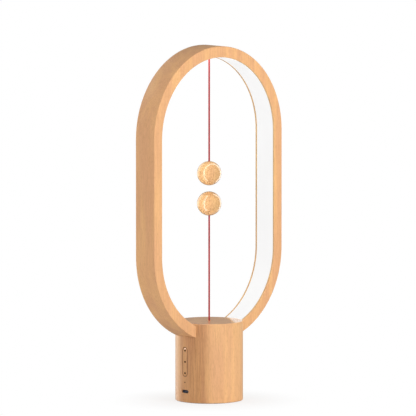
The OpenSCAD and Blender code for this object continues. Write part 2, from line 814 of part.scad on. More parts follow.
module return_spring() {
    per_turn = 16;
    count = spring_turns * per_turn;
    climb = spring_l - wire_d - 0.04;
    turn = 360 / per_turn;
    path = [for (i = [0:count]) [spring_d / 2 * cos(i * turn), spring_d / 2 * sin(i * turn),
        collar_top + wire_d / 2 + 0.02 + climb * i / count]];
    color("silver") tube(path, wire_d / 2, 8, [0, 0, 1]);
}

module microswitch() {
    color("black") difference() {
        union() {
            span([micro_x, -micro_w / 2, micro_z], [micro_x + micro_l, micro_w / 2, micro_z + micro_h]);
            for (side = [-1, 1])
                translate([hinge_x - 1.2, side > 0 ? lever_w / 2 + 0.15 : -micro_w / 2, hinge_z - 0.8])
                    cube([2.4, micro_w / 2 - lever_w / 2 - 0.15, micro_z - hinge_z + 0.9]);
            translate([hinge_x, 0, hinge_z]) rod_y(pin_r, micro_w);
        }
        span([button_x - button_w / 2 - 0.1, -button_depth / 2 - 0.1, micro_z - 1],
            [button_x + button_w / 2 + 0.1, button_depth / 2 + 0.1, micro_z + 2.4]);
        at_switch_bolts() rod_y(small_screw[0] + fixed_gap, 3 * micro_w);
    }
}

// Where the microswitch is bolted to its bracket
module at_switch_bolts() {
    for (x = [micro_x + 3.5, micro_x + micro_l - 5]) translate([x, 0, micro_z + micro_h - 3]) children();
}

module switch_lever() {
    color("silver") difference() {
        union() {
            span([lever_tip, -lever_w / 2, lever_low], [hinge_x, lever_w / 2, lever_low + lever_t]);
            translate([hinge_x, 0, hinge_z]) rod_y(barrel_r, lever_w);
        }
        translate([hinge_x, 0, hinge_z]) rod_y(pin_r + run_gap, lever_w + 2);
    }
}

module switch_button() {
    color("firebrick") {
        translate([button_x, 0, button_low + button_w / 2]) rod_y(button_w / 2, button_depth);
        span([button_x - button_w / 2, -button_depth / 2, button_low + button_w / 2],
            [button_x + button_w / 2, button_depth / 2, micro_z + 1.2]);
    }
}

// The two screws that hold the bracket up to the deck
module at_bracket_screws() {
    for (x = [micro_x + 2.5, micro_x + micro_l - 3])
        translate([x, bracket_y + 5.2, deck_z - 2.5]) children();
}

module switch_bracket() {
    top = deck_z;
    color("silver") difference() {
        union() {
            span([micro_x, bracket_y, micro_z + 1], [micro_x + micro_l, bracket_y + bracket_t, top]);
            span([micro_x, bracket_y, top - bracket_t], [micro_x + micro_l, bracket_y + bracket_flange, top]);
        }
        at_bracket_screws() cylinder(r = small_screw[0] + fixed_gap, h = bracket_screw_l + 0.5, $fn = 48);
        at_switch_bolts() rod_y(small_screw[0] + fixed_gap, 3 * micro_w);
    }
}

module bracket_screws() {
    color("dimgray") {
        at_bracket_screws() translate([0, 0, 2.5 - bracket_t - small_screw[2]])
            screw(small_screw, bracket_screw_l);
        at_switch_bolts() translate([0, -micro_w / 2 - small_screw[2], 0]) rotate([-90, 0, 0])
            screw(small_screw, small_screw[2] + micro_w + bracket_t + 1);
    }
}

// ---------- keys, board and socket ----------

module circuit_board() {
    color("darkgreen") difference() {
        span([-board_x, -board_w / 2, board_low], [-board_x + board_t, board_w / 2, board_high]);
        at_board_screws() rod_x(small_screw[0] + fixed_gap, -base_r, 0);
        for (side = [-1, 1]) translate([0, side * post_y, key_z]) rod_x(post_r + run_gap, -base_r, 0);
    }
}

module board_screws() {
    color("dimgray") at_board_screws()
        translate([-board_x + board_t + small_screw[2], 0, 0]) rotate([0, -90, 0])
            screw(small_screw, board_screw_l);
}

// Chips, a coil and plugs on the board's inner face: y, z, width, height, thickness
module board_parts() {
    foot = board_low + 7.1;
    parts = [[-4, foot, 5, 5, 1], [4, foot + 1.5, 4, 4, 3], [-3, board_up(0.457), 3, 2, 1.2],
        [5, board_up(0.47), 6, 5, 2.4], [-3, board_up(0.644), 7, 5, 1.4],
        [7, battery_plug_z, 4, 6, plug_out], [-7, switch_plug_z, 4, 6, plug_out],
        [0, lead_z, 6, 5, plug_out], [1, key_z - 6.3, 2, 1.2, 0.8],
        [1, key_z - 3.3, 2, 1.2, 0.8], [6, key_z - 2.3, 3, 2, 1]];
    color("dimgray") for (p = parts)
        span([-board_x + board_t, p[0] - p[2] / 2, p[1] - p[3] / 2],
            [-board_x + board_t + p[4], p[0] + p[2] / 2, p[1] + p[3] / 2]);
}

module press_switches() {
    color("silver") for (step = [-1:1]) translate([0, 0, key_z + step * dot_pitch]) {
        span([-board_x - tact_h, -tact_w / 2, -tact_w / 2], [-board_x, tact_w / 2, tact_w / 2]);
        rod_x(1.2, -tact_face, -board_x - tact_h + eps);
    }
}

// The sprung yoke that the key bar rocks on; its posts slide in the board
module key_carrier() {
    plate = 10;
    color("darkgray") translate([0, 0, key_z]) {
        span([-carrier_low - carrier_t, -plate / 2, -3], [-carrier_low, plate / 2, 3]);
        for (side = [-1, 1]) {
            y = side > 0 ? ear_in : -ear_in - ear_t;
            span([-pivot_x - 1.1, y, -1.3], [-carrier_low - eps, y + ear_t, 1.3]);
            translate([0, side * post_y, 0]) rod_x(post_r, -carrier_low - eps, -board_x + board_t + 1.5);
        }
        translate([-pivot_x, 0, 0]) rod_y(key_pin_r, 2 * ear_in + 2 * ear_t);
    }
}

// The key bar, flush with the base, with a lug on the yoke's pin and a pusher behind each end dot
module key_bar() {
    w = slot_w - 2 * key_gap;
    h = slot_h - 2 * key_gap;
    color("burlywood") difference() {
        union() {
            intersection() {
                translate([0, 0, key_z]) capsule_x(w, h, -base_r, -key_back);
                cylinder(r = key_face, h = base_h, $fn = 160);
            }
            translate([0, 0, key_z]) {
                span([-key_back - eps, -ear_in + 0.15, -1.4], [-pivot_x + 1.2, ear_in - 0.15, 1.4]);
                for (step = [-1, 1])
                    translate([0, 0, step * dot_pitch]) rod_x(pusher_r, -key_back - eps, -pusher_x);
            }
        }
        translate([-pivot_x, 0, key_z]) rod_y(key_pin_r + run_gap, 10);
        at_dots() rod_x(dot_d / 2 + 0.02, -base_r - 1, -key_face + 0.8);
        at_window() rod_x(0.5 + 0.02, -base_r - 1, -key_face + 0.8);
    }
}

module at_dots() {
    for (step = [-1:1]) translate([0, 0, key_z + step * dot_pitch]) children();
}

module at_window() {
    translate([0, 0, key_z + dot_pitch + dot_d / 2 + 0.9]) children();
}

// Inlays end flush with the key bar's curved face
module inlay() {
    intersection() {
        children();
        cylinder(r = key_face, h = base_h, $fn = 160);
    }
}

module key_dots() { color("saddlebrown") inlay() at_dots() rod_x(dot_d / 2, -base_r, -key_face + 0.8); }
module key_window() { color("white") inlay() at_window() rod_x(0.5, -base_r, -key_face + 0.8); }

module charge_light() {
    color("saddlebrown") intersection() {
        translate([0, 0, lamp_z]) rod_x(lamp_d / 2, -base_r, -board_x - 1.3);
        cylinder(r = base_r - 0.05, h = base_h, $fn = 160);
    }
}

module charge_led() {
    color("white") translate([0, 0, lamp_z]) span([-board_x - 1.1, -1, -0.6], [-board_x, 1, 0.6]);
}

module usb_shell() {
    color("silver") translate([0, 0, usb_z]) difference() {
        capsule_x(usb_w, usb_h, -usb_face, -board_x);
        capsule_x(usb_w - 2 * usb_wall, usb_h - 2 * usb_wall, -usb_face - 1, -board_x - 2);
    }
}

module usb_tongue() {
    color("darkslategray") translate([0, 0, usb_z])
        span([-usb_face + 0.8, -3.35, -0.35], [-board_x - 2, 3.35, 0.35]);
}

// ---------- battery and leads ----------

module battery_pack() {
    color("royalblue")
        span([-battery_w / 2, battery_y, battery_z], [battery_w / 2, battery_y + battery_t, battery_top]);
}

module battery_cradle() {
    grow = cradle_t + 0.15;
    color("dimgray") difference() {
        span([-battery_w / 2 - grow, battery_y - grow, cradle_z],
            [battery_w / 2 + grow, battery_y + battery_t + grow, cradle_z + cradle_h]);
        span([-battery_w / 2 - 0.15, battery_y - 0.15, cradle_z + cradle_t],
            [battery_w / 2 + 0.15, battery_y + battery_t + 0.15, cradle_z + cradle_h + 1]);
    }
}

module led_wires() { color("crimson") lead_pair(led_route, [0, 0.75, 0], [0, 1, 0]); }
module battery_wires() { color("red") lead_pair(battery_route, [0, -0.8, 0.3], [0, 1, 0]); }
module switch_wires() { color("black") lead_pair(switch_route, [0, 0, 0.8], [0, 0, 1]); }

ring_front();
ring_rear();
ring_dowels();
led_strip();
led_chips();
diffuser_left();
diffuser_right();
cord_anchor();
upper_bead();
upper_cord();
upper_knots();
upper_ball();
upper_magnet();
upper_plug();
base_body();
saddle_block();
ring_screws();
pull_bush();
pull_plunger();
stem_collar();
spring_washer();
return_spring();
lower_bead();
lower_cord();
lower_knots();
lower_ball();
lower_magnet();
lower_plug();
microswitch();
switch_lever();
switch_button();
switch_bracket();
bracket_screws();
circuit_board();
board_screws();
board_parts();
press_switches();
key_carrier();
key_bar();
key_dots();
key_window();
charge_light();
charge_led();
usb_shell();
usb_tongue();
battery_pack();
battery_cradle();
led_wires();
battery_wires();
switch_wires();
ballast_plate();
ballast_screws();
bottom_cover();
cover_screws();
foot_ring();
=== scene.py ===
import json
from math import asin, cos, degrees, pi, radians, sin, sqrt

import bmesh
import bpy
from mathutils import Matrix, Vector


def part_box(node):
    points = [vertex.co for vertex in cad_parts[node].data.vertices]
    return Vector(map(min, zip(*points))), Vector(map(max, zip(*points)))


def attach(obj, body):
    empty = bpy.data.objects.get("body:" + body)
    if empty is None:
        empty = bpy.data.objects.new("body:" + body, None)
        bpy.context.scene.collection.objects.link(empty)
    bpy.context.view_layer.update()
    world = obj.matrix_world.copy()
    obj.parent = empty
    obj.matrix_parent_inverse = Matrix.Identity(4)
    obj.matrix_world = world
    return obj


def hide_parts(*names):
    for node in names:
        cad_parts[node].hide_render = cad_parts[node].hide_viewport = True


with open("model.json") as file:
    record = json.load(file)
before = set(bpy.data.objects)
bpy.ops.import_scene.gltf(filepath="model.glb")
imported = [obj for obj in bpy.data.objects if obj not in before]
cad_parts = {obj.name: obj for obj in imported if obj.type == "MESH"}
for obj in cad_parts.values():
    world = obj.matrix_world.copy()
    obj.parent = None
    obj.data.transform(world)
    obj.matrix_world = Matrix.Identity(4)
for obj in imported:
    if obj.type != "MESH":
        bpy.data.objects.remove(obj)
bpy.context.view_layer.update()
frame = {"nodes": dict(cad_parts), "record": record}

# All lengths are in metres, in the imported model's frame: the ring lies in X-Z, its front faces -Y,
# and the keys are on the base's -X side.
MM = 0.001

# Ring
RING_R = 100 * MM
RING_T = 12.5 * MM
RING_DEPTH = 30 * MM
CHEEK_T = 2.2 * MM
RIM_T = 4 * MM
ARC_LOW_Z = 168 * MM
ARC_HIGH_Z = 300 * MM
RING_IN_R = RING_R - RING_T
DECK_Z = 62 * MM
STEM_HOLE_R = 2.1 * MM
WIRE_X = -24 * MM
WIRE_HOLE_R = 2.2 * MM
WIRE_HOLE_TOP = 80 * MM

# Balls and cords
BALL_R = 13.6 * MM
UPPER_BALL_Z = 256.3 * MM
LOWER_BALL_Z = 222.2 * MM
MAGNET_BORE_R = 6.03 * MM
MAGNET_HIGH = -4.9 * MM
CHAMBER_R = 2.2 * MM
CHAMBER_TOP = 0.3 * MM
CORD_R = 1.0 * MM
CORD_HOLE_R = 1.15 * MM

# Base
BASE_R = 38 * MM
BASE_H = 90 * MM
KEY_Z = 46.3 * MM
KEY_HALF = 12.7 * MM
KEY_EDGE_R = 3.7 * MM
DOT_R = 1.1 * MM
DOT_PITCH = 12.8 * MM

nodes = frame["nodes"]


# ---------- camera ----------

PHOTO_PIXELS = 416
PIXELS_PER_METRE = 890.8
AIM = Vector((0, 0, 200 * MM))
AIM_PIXEL = (209.16, 223.13)
CAMERA_YAW = radians(44.25)
CAMERA_ELEVATION = radians(5.82)
CAMERA_DISTANCE = 10.83
SENSOR_MM = 36


def make_camera():
    """The photograph's view: a long lens, far away, from the front left and a little above."""
    flat = cos(CAMERA_ELEVATION)
    forward = Vector((sin(CAMERA_YAW) * flat, cos(CAMERA_YAW) * flat, -sin(CAMERA_ELEVATION)))
    right = Vector((cos(CAMERA_YAW), -sin(CAMERA_YAW), 0))
    up = right.cross(forward)
    middle = PHOTO_PIXELS / 2
    centre = (AIM - right * (AIM_PIXEL[0] - middle) / PIXELS_PER_METRE
              + up * (AIM_PIXEL[1] - middle) / PIXELS_PER_METRE)
    data = bpy.data.cameras.new("camera")
    data.sensor_width = SENSOR_MM
    data.lens = SENSOR_MM * PIXELS_PER_METRE * CAMERA_DISTANCE / PHOTO_PIXELS
    data.clip_start = 0.1
    data.clip_end = 100
    camera = bpy.data.objects.new("camera", data)
    bpy.context.scene.collection.objects.link(camera)
    turn = Matrix((right, up, -forward)).transposed()
    camera.matrix_world = Matrix.Translation(centre - forward * CAMERA_DISTANCE) @ turn.to_4x4()
    bpy.context.scene.camera = camera


make_camera()


# ---------- meshes ----------

SHARP_ANGLE = radians(35)
ARC_STEPS = 5
LATHE_SEGMENTS = 128
BORE_SIDES = 48


def new_mesh(name, verts, faces, smooth=True):
    """A mesh object from points and faces, with its normals outwards."""
    mesh = bpy.data.meshes.new(name)
    mesh.from_pydata([tuple(v) for v in verts], [], faces)
    bm = bmesh.new()
    bm.from_mesh(mesh)
    bmesh.ops.recalc_face_normals(bm, faces=bm.faces)
    bm.to_mesh(mesh)
    bm.free()
    mesh.polygons.foreach_set("use_smooth", [smooth] * len(mesh.polygons))
    obj = bpy.data.objects.new(name, mesh)
    bpy.context.scene.collection.objects.link(obj)
    return obj


def grid_faces(rows, columns, wrap_rows=False):
    """Quads between rows of points, each row a closed loop of that many columns."""
    faces = []
    for i in range(rows if wrap_rows else rows - 1):
        for j in range(columns):
            a, b = i * columns, ((i + 1) % rows) * columns
            k = (j + 1) % columns
            faces.append((a + j, a + k, b + k, b + j))
    return faces


def sharpen(obj):
    """Smooth shading that stops where the surface turns by more than SHARP_ANGLE."""
    bm = bmesh.new()
    bm.from_mesh(obj.data)
    for edge in bm.edges:
        edge.smooth = edge.is_manifold and edge.calc_face_angle(0) < SHARP_ANGLE
    bm.to_mesh(obj.data)
    bm.free()


def corner_arc(centre, radius, start, end):
    """Points of an arc between two angles in degrees."""
    span = [radians(start + (end - start) * i / ARC_STEPS) for i in range(ARC_STEPS + 1)]
    return [(centre[0] + radius * cos(a), centre[1] + radius * sin(a)) for a in span]


def lathe(name, profile, centre_z, flip):
    """A closed profile of (radius, height) turned about the Z axis, upside down if flip."""
    side = -1 if flip else 1
    verts = []
    for i in range(LATHE_SEGMENTS):
        a = 2 * pi * i / LATHE_SEGMENTS
        verts += [(r * cos(a), r * sin(a), centre_z + side * z) for r, z in profile]
    obj = new_mesh(name, verts, grid_faces(LATHE_SEGMENTS, len(profile), wrap_rows=True))
    sharpen(obj)
    return obj


def cut_cylinder(obj, x, y, z0, z1, radius):
    """Bores an upright hole through a piece."""
    bpy.ops.mesh.primitive_cylinder_add(vertices=BORE_SIDES, radius=radius, depth=z1 - z0,
                                        location=(x, y, (z0 + z1) / 2))
    tool = bpy.context.active_object
    modifier = obj.modifiers.new("bore", "BOOLEAN")
    modifier.operation = "DIFFERENCE"
    modifier.solver = "EXACT"
    modifier.object = tool
    bpy.context.view_layer.objects.active = obj
    bpy.ops.object.modifier_apply(modifier=modifier.name)
    bpy.data.objects.remove(tool)


# ---------- cords ----------

BRAID_STRANDS = 4
BRAID_PITCH = 4 * MM
BRAID_DEPTH = 0.08
CORD_PATH_STEPS = 24


def braided_cord(name, z0, z1):
    """A straight round braid from z0 to z1 on the Z axis, with the points that it follows."""
    sides = 24
    step = 0.2 * MM
    rows = int(round(abs(z1 - z0) / step)) + 1
    verts = []
    for i in range(rows):
        z = z0 + (z1 - z0) * i / (rows - 1)
        twist = 2 * pi * z / BRAID_PITCH
        for j in range(sides):
            a = 2 * pi * j / sides
            one = abs(cos(BRAID_STRANDS * a / 2 + twist))
            other = abs(cos(BRAID_STRANDS * a / 2 - twist))
            r = CORD_R * (1 - BRAID_DEPTH + BRAID_DEPTH * max(one, other))
            verts.append((r * cos(a), r * sin(a), z))
    faces = grid_faces(rows, sides)
    faces += [tuple(range(sides))[::-1], tuple(range((rows - 1) * sides, rows * sides))]
    path = [(0, 0, z0 + (z1 - z0) * i / CORD_PATH_STEPS) for i in range(CORD_PATH_STEPS + 1)]
    return new_mesh(name, verts, faces), path


def make_cord(which, leaves_from_top):
    """The cord of one ball, from where it leaves its swivel to the knot inside the ball."""
    low, high = (corner[2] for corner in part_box(which + "_cord"))
    start, end = (high, low) if leaves_from_top else (low, high)
    piece, path = braided_cord(which + "_braid", start, end)
    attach(piece, which + "_pendulum")
    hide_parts(which + "_cord")
    return piece


cords = [make_cord("upper", True), make_cord("lower", False)]


# ---------- ring ----------

def ring_stations():
    """Places around the ring: the height of the section's centre and the section's outward direction."""
    arc_steps = 72
    straight_steps = 12
    stations = []
    for i in range(arc_steps):
        a = pi * i / arc_steps
        stations.append((ARC_HIGH_Z, cos(a), sin(a)))
    for i in range(straight_steps):
        stations.append((ARC_HIGH_Z + (ARC_LOW_Z - ARC_HIGH_Z) * i / straight_steps, -1, 0))
    for i in range(arc_steps):
        a = pi + pi * i / arc_steps
        stations.append((ARC_LOW_Z, cos(a), sin(a)))
    for i in range(straight_steps):
        stations.append((ARC_LOW_Z + (ARC_HIGH_Z - ARC_LOW_Z) * i / straight_steps, 1, 0))
    return stations


def ring_half(name, node, front):
    """One milled half of the ring: a rim and a cheek, with eased edges where hands touch it."""
    side = -1 if front else 1
    face = RING_DEPTH / 2
    inner = face - CHEEK_T
    ease = 0.8 * MM
    lip_ease = 0.55 * MM
    channel = RING_R - RIM_T
    profile = [(channel, 0.0), (RING_R, 0.0)]
    profile += corner_arc((RING_R - ease, face - ease), ease, 0, 90)
    profile += corner_arc((RING_IN_R + lip_ease, face - lip_ease), lip_ease, 90, 180)
    profile += corner_arc((RING_IN_R + lip_ease, inner + lip_ease), lip_ease, 180, 270)
    profile += [(channel, inner)]
    verts = []
    for z, nx, nz in ring_stations():
        verts += [(nx * r, side * y, z + nz * r) for r, y in profile]
    stations = len(verts) // len(profile)
    obj = new_mesh(name, verts, grid_faces(stations, len(profile), wrap_rows=True))
    cut_cylinder(obj, 0, 0, DECK_Z, BASE_H, STEM_HOLE_R)
    cut_cylinder(obj, WIRE_X, 0, DECK_Z, WIRE_HOLE_TOP, WIRE_HOLE_R)
    sharpen(obj)
    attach(obj, "root")
    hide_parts(node)
    return obj


ring = [ring_half("ring_half_front", "ring_front", True), ring_half("ring_half_rear", "ring_rear", False)]


# ---------- balls ----------

def make_ball(which, centre_z, flip):
    """A turned ball: an eased cord hole at one end and the magnet's bore at the other."""
    ease = 0.5 * MM
    chamfer = 0.3 * MM
    hole_angle = 7.3  # degrees from the axis to where the eased cord hole meets the ball
    top = BALL_R * cos(radians(hole_angle))
    edge_z = sqrt(BALL_R ** 2 - MAGNET_BORE_R ** 2)
    profile = [(CORD_HOLE_R, CHAMBER_TOP), (CORD_HOLE_R, top - ease),
               (CORD_HOLE_R + ease * 0.25, top - ease * 0.35)]
    steps = 72
    bore_angle = 180 - degrees(asin(MAGNET_BORE_R / BALL_R))
    for i in range(steps + 1):
        a = radians(hole_angle + (bore_angle - hole_angle) * i / steps)
        profile.append((BALL_R * sin(a), BALL_R * cos(a)))
    profile += [(MAGNET_BORE_R, -edge_z + chamfer), (MAGNET_BORE_R, MAGNET_HIGH),
                (CHAMBER_R, MAGNET_HIGH), (CHAMBER_R, CHAMBER_TOP)]
    obj = lathe(which + "_turned_ball", profile, centre_z, flip)
    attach(obj, which + "_pendulum")
    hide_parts(which + "_ball")
    return obj


balls = [make_ball("upper", UPPER_BALL_Z, False), make_ball("lower", LOWER_BALL_Z, True)]


# ---------- charging socket ----------

def box_verts(low, high):
    """The corners and faces of a box."""
    verts = [(x, y, z) for x in (low[0], high[0]) for y in (low[1], high[1]) for z in (low[2], high[2])]
    faces = [(0, 1, 3, 2), (4, 6, 7, 5), (0, 4, 5, 1), (2, 3, 7, 6), (0, 2, 6, 4), (1, 5, 7, 3)]
    return verts, faces


def contact_pads():
    """Gilt contacts on both faces of the socket's tongue."""
    low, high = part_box("usb_tongue")
    count = 12
    pitch = 0.5 * MM
    start, end = low[0] + 0.4 * MM, low[0] + 3.6 * MM
    width = 0.28 * MM
    proud = 0.03 * MM
    verts, faces = [], []
    for z in (low[2], high[2]):
        for i in range(count):
            y = (i - (count - 1) / 2) * pitch
            v, f = box_verts((start, y - width / 2, z - proud), (end, y + width / 2, z + proud))
            faces += [tuple(k + len(verts) for k in face) for face in f]
            verts += v
    obj = new_mesh("usb_contacts", verts, faces, smooth=False)
    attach(obj, "root")
    return obj


contacts = contact_pads()


# ---------- materials ----------

class Shader:
    """A material with a Principled shader, and short calls for the nodes that feed it."""

    def __init__(self, name, **values):
        self.material = bpy.data.materials.new(name)
        self.material.use_nodes = True
        self.tree = self.material.node_tree
        self.tree.nodes.clear()
        self.surface = self.node("ShaderNodeBsdfPrincipled")
        self.output = self.node("ShaderNodeOutputMaterial").inputs["Surface"]
        self.feed(self.output, self.surface.outputs[0])
        self.set(**values)
        self.place = self.node("ShaderNodeTexCoord").outputs["Object"]

    def node(self, kind, **settings):
        made = self.tree.nodes.new(kind)
        for key, value in settings.items():
            setattr(made, key, value)
        return made

    def feed(self, socket, value):
        if isinstance(value, bpy.types.NodeSocket):
            self.tree.links.new(value, socket)
        else:
            socket.default_value = value

    def set(self, **values):
        for key, value in values.items():
            self.feed(self.surface.inputs[key.replace("_", " ")], value)

    def stretched(self, size):
        """Object coordinates in units of size, so that one unit of noise is that long."""
        mapping = self.node("ShaderNodeMapping")
        mapping.inputs["Scale"].default_value = [1 / s for s in size]
        self.feed(mapping.inputs["Vector"], self.place)
        return mapping.outputs[0]

    def noise(self, size, detail=2.0, roughness=0.5, distortion=0.0, seed=0.0):
        texture = self.node("ShaderNodeTexNoise", noise_dimensions="4D")
        self.feed(texture.inputs["Vector"], self.stretched(size))
        self.feed(texture.inputs["W"], seed)
        self.feed(texture.inputs["Scale"], 1.0)
        self.feed(texture.inputs["Detail"], detail)
        self.feed(texture.inputs["Roughness"], roughness)
        self.feed(texture.inputs["Distortion"], distortion)
        return texture.outputs["Fac"]

    def remap(self, value, low, high, out_low=0.0, out_high=1.0, smooth=False):
        node = self.node("ShaderNodeMapRange", interpolation_type="SMOOTHSTEP" if smooth else "LINEAR")
        for name, v in (("Value", value), ("From Min", low), ("From Max", high),
                        ("To Min", out_low), ("To Max", out_high)):
            self.feed(node.inputs[name], v)
        return node.outputs[0]

    def math(self, operation, a, b=0.0):
        node = self.node("ShaderNodeMath", operation=operation)
        self.feed(node.inputs[0], a)
        self.feed(node.inputs[1], b)
        return node.outputs[0]

    def mix(self, factor, a, b, blend="MIX"):
        node = self.node("ShaderNodeMix", data_type="RGBA", blend_type=blend)
        for name, kind, v in (("Factor", "VALUE", factor), ("A", "RGBA", a), ("B", "RGBA", b)):
            socket = [s for s in node.inputs if s.name == name and s.type == kind][0]
            if isinstance(v, tuple):
                v = (*v, 1.0)
            self.feed(socket, v)
        return [s for s in node.outputs if s.type == "RGBA"][0]

    def axes(self):
        """The X, Y and Z of object coordinates."""
        split = self.node("ShaderNodeSeparateXYZ")
        self.feed(split.inputs[0], self.place)
        return split.outputs

    def distance(self, a, b):
        """How far from the middle a point with these two coordinates lies."""
        squares = self.math("ADD", self.math("MULTIPLY", a, a), self.math("MULTIPLY", b, b))
        return self.math("SQRT", squares)

    def bump(self, height, distance, strength):
        node = self.node("ShaderNodeBump")
        self.feed(node.inputs["Height"], height)
        self.feed(node.inputs["Distance"], distance)
        self.feed(node.inputs["Strength"], strength)
        self.feed(self.surface.inputs["Normal"], node.outputs[0])


def tinted(colour, factor, warm=0.0):
    """A colour made darker or lighter, and warmer."""
    r, g, b = colour
    return (min(r * factor, 1), min(g * factor * (1 - warm), 1), min(b * factor * (1 - 2 * warm), 1))


def wood(name, colour, contrast=1.0, rough=0.45, coat=0.3, coat_rough=0.2, bump=0.05 * MM, seed=0.0,
         ior=1.45, marks=None):
    """Beech with upright grain: broad bands, fine lines, short flecks, pale pores, and a piece's painted shade
    and polish.
    """
    s = Shader(name, Coat_Weight=coat, Coat_Roughness=coat_rough, Coat_IOR=1.5, IOR=ior)
    band = s.noise((12 * MM, 12 * MM, 120 * MM), detail=1, distortion=0.6, seed=seed)
    line = s.noise((1.1 * MM, 1.1 * MM, 22 * MM), detail=3, roughness=0.6, seed=seed + 3)
    fleck = s.noise((0.5 * MM, 0.5 * MM, 4.5 * MM), detail=1, seed=seed + 5)
    pore = s.noise((0.45 * MM, 0.45 * MM, 3 * MM), detail=2, roughness=0.7, seed=seed + 9)
    pink = tinted(colour, 0.95, 0.04)
    base = s.mix(s.remap(band, 0.35, 0.65, smooth=True), (pink[0], pink[1], colour[2]),
                 tinted(colour, 1.04, -0.01))
    late = tinted((1, 1, 1), 1 - 0.15 * contrast, 0.04 * contrast)
    base = s.mix(s.remap(line, 0.42, 0.7), base, s.mix(1.0, base, late, "MULTIPLY"))
    base = s.mix(s.remap(fleck, 0.52, 0.7, smooth=True), base, s.mix(1.0, base, late, "MULTIPLY"))
    base = s.mix(s.remap(pore, 0.6, 0.8, 0.0, 0.35 * contrast), base, tinted(colour, 1.16))
    if marks:
        base = marks(s, base)
    s.set(Base_Color=base, Roughness=s.remap(line, 0.3, 0.7, rough - 0.05, rough + 0.08))
    s.bump(s.math("ADD", s.math("MULTIPLY", line, 0.6), s.math("MULTIPLY", fleck, 0.5)), bump, 0.6)
    return s.material


# Tones painted on the wood: shade at the ring's lips, darker grain in the base's painted shade band, and shade
# in the gaps round the keys and dots; the first two darken it, and the last covers it
LIP_SHADE = (0.75, 0.86, 0.84)
SHADE_BAND_GRAIN = (0.92, 0.9, 0.88)
GAP_SHADE = (0.22, 0.09, 0.035)

# Bands of painted shade on the base's side turned from the key lamp: the angle of the middle, how far to each
# side of it the band ends and how far it keeps its full strength, and the tint
SHADE_BANDS = (
    (194, 38, 21, (0.85, 0.8, 0.75)),
    (204, 20, 7, (0.94, 0.92, 0.895)),
)


def ring_lip_shade(s, base):
    """Painted shade: the lips beside the diffuser are made darker and greyer."""
    x, y, z = s.axes()
    above = s.math("MAXIMUM", s.math("SUBTRACT", z, ARC_HIGH_Z), s.math("SUBTRACT", ARC_LOW_Z, z))
    radius = s.distance(x, s.math("MAXIMUM", above, 0.0))
    # painted shade: the lip beside the diffuser is darkened and greyed
    lip = s.remap(radius, RING_IN_R + 0.1 * MM, RING_IN_R + 0.5 * MM, 1.0, 0.0, smooth=True)
    return s.mix(lip, base, s.mix(1.0, base, LIP_SHADE, "MULTIPLY"))


def base_shade_and_polish(s, base):
    """Painted shade: a darker band on the keys' side, turned from the key lamp, with darker grain in it, and
    dark lines in the key slot's gap and round the dots; and a polished top.
    """
    x, y, z = s.axes()
    fine = s.remap(s.noise((0.8 * MM, 0.8 * MM, 35 * MM), detail=2, seed=21), 0.42, 0.6, 0.0, 0.9)
    # painted shade: the side turned from the key lamp is darkened, with darker grain lines only inside that
    # band
    for centre, end, full, tint in SHADE_BANDS:
        a = radians(centre)
        side = s.math("ADD", s.math("MULTIPLY", x, cos(a) / BASE_R), s.math("MULTIPLY", y, sin(a) / BASE_R))
        shade_band = s.remap(side, cos(radians(end)), cos(radians(full)), smooth=True)
        base = s.mix(shade_band, base, s.mix(1.0, base, tint, "MULTIPLY"))
        base = s.mix(s.math("MULTIPLY", shade_band, fine), base, s.mix(1.0, base, SHADE_BAND_GRAIN, "MULTIPLY"))

    up = s.math("ABSOLUTE", s.math("SUBTRACT", z, KEY_Z))
    across = s.distance(y, s.math("MAXIMUM", s.math("SUBTRACT", up, KEY_HALF), 0.0))
    from_edge = s.math("ABSOLUTE", s.math("SUBTRACT", across, KEY_EDGE_R))
    slot_line = s.remap(from_edge, 0.35 * MM, 0.7 * MM, 0.6, 0.0, smooth=True)
    near = s.math("MINIMUM", up, s.math("ABSOLUTE", s.math("SUBTRACT", up, DOT_PITCH)))
    dot_line = s.remap(s.distance(y, near), DOT_R, DOT_R + 0.35 * MM, 0.7, 0.0, smooth=True)
    keys_side = s.math("LESS_THAN", x, -BASE_R * 0.8)
    # painted shade: dark lines where the key slot's gap and the dots' edges hold shade
    gap_shade = s.math("MULTIPLY", s.math("MAXIMUM", slot_line, dot_line), keys_side)

    top = (BASE_H - 0.3 * MM, BASE_H - 0.1 * MM)
    s.set(Coat_Roughness=s.remap(z, *top, 0.32, 0.08), Coat_Weight=s.remap(z, *top, 0.4, 0.85))
    return s.mix(gap_shade, base, GAP_SHADE)


def plastic(name, colour, rough=0.45, coat=0.0, ior=1.5):
    """Moulded plastic or rubber: a fine texture, with the tone drifting a little."""
    s = Shader(name, Coat_Weight=coat, IOR=ior)
    drift = s.noise((9 * MM, 9 * MM, 9 * MM), detail=2)
    fine = s.noise((0.3 * MM, 0.3 * MM, 0.3 * MM), detail=2)
    s.set(Base_Color=s.mix(drift, tinted(colour, 0.9), tinted(colour, 1.1)))
    s.set(Roughness=s.remap(fine, 0.3, 0.7, rough - 0.06, rough + 0.06))
    s.bump(fine, 0.02 * MM, 0.5)
    return s.material


def metal(name, colour, rough, brush=(0.2 * MM, 0.2 * MM, 4 * MM)):
    """Turned, rolled or plated metal, with fine marks of its making."""
    s = Shader(name, Metallic=1.0)
    marks = s.noise(brush, detail=3, roughness=0.6)
    stain = s.noise((7 * MM, 7 * MM, 7 * MM), detail=2)
    s.set(Base_Color=s.mix(stain, tinted(colour, 0.86), tinted(colour, 1.06)))
    s.set(Roughness=s.remap(marks, 0.3, 0.7, max(rough - 0.08, 0.05), rough + 0.1))
    s.bump(marks, 0.01 * MM, 0.5)
    return s.material


